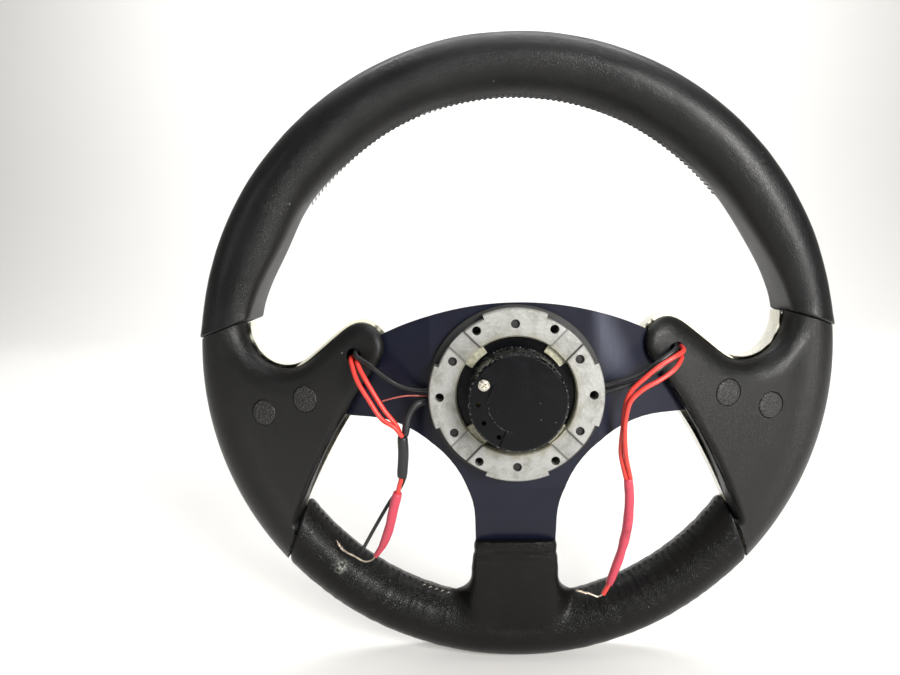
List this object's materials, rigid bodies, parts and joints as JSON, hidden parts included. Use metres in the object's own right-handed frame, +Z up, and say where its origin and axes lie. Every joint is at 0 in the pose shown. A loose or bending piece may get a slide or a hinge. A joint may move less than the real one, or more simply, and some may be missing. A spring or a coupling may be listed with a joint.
{
  "type": "car steering wheel",
  "caption": "Three-spoke car steering wheel with a leather-wrapped rim, thumb grips, horn push and a drilled hub ring for a column adapter, with loose button wires.",
  "frame": {"origin": "middle of the hub ring's rear face, where the wheel bolts to its column adapter", "axes": "+Y along the column axis towards the driver, +Z up with the wheel straight ahead, +X to the right as seen from behind"},
  "size_m": [0.35, 0.0885, 0.35],
  "materials": {
    "cast_ring": "as cast, with a machined rear face, stained",
    "spacer": "matt black, dusty",
    "blue_plate": "navy blue-black satin",
    "black_screw": "blackened steel",
    "core_steel": "plain steel",
    "foam": "dense foam",
    "leather": "black, grained, worn smooth on top",
    "black_shell": "black, fine leather grain",
    "white_shell": "cream-white gloss",
    "zinc_screw": "zinc plated",
    "plug": "black, stippled",
    "cup_plastic": "black satin, dusty",
    "nickel_screw": "nickel plated",
    "brass": "plain brass",
    "push_plastic": "black satin",
    "trim": "black",
    "button_red": "red",
    "switch_body": "black",
    "pink_sleeve": "pink-red shrink sleeve",
    "copper": "bare tinned copper strands",
    "red_wire": "red insulation",
    "black_wire": "black insulation"
  },
  "bodies": {
    "wheel": {"hub_ring": "cast_ring", "hub_spacer": "spacer", "spoke_plate": "blue_plate", "hub_screws": "black_screw", "rim_core": "core_steel", "padding_upper": "foam", "padding_lower": "foam", "leather_upper": "leather", "leather_lower": "leather", "leather_boot": "leather", "left_rear_shell": "black_shell", "right_rear_shell": "black_shell", "left_front_shell": "white_shell", "right_front_shell": "white_shell", "shell_screws": "zinc_screw", "shell_plugs": "plug", "horn_cup": "cup_plastic", "cup_screw": "nickel_screw", "horn_contact": "brass", "horn_spring": "zinc_screw", "horn_bezel": "trim", "left_switch": "switch_body", "right_switch": "switch_body", "left_black_lead": "black_wire", "right_black_leads": "black_wire", "left_red_wire_a": "red_wire", "left_red_wire_b": "red_wire", "left_feed_wire": "red_wire", "left_taped_wires": "black_wire", "left_black_sleeve": "black_wire", "left_red_tail": "red_wire", "left_pink_sleeve": "pink_sleeve", "left_copper_end": "copper", "left_black_tail": "black_wire", "right_red_wire_a": "red_wire", "right_red_wire_b": "red_wire", "right_pink_sleeve": "pink_sleeve", "right_red_tip": "red_wire", "right_copper_end": "copper"},
    "horn_push": {"horn_push": "push_plastic"},
    "left_button": {"left_button": "button_red"},
    "right_button": {"right_button": "button_red"}
  },
  "joints": [
    {"name": "horn_press", "type": "slide", "parent": "wheel", "child": "horn_push", "axis": [0, -1, 0], "range_m": [0, 0.0025], "stiffness_N_per_m": 1200, "deforming": ["horn_spring"]},
    {"name": "left_button_press", "type": "slide", "parent": "wheel", "child": "left_button", "axis": [-0.278, -0.9606, 0], "range_m": [0, 0.0015], "stiffness_N_per_m": 600},
    {"name": "right_button_press", "type": "slide", "parent": "wheel", "child": "right_button", "axis": [0.278, -0.9606, 0], "range_m": [0, 0.0015], "stiffness_N_per_m": 600}
  ]
}
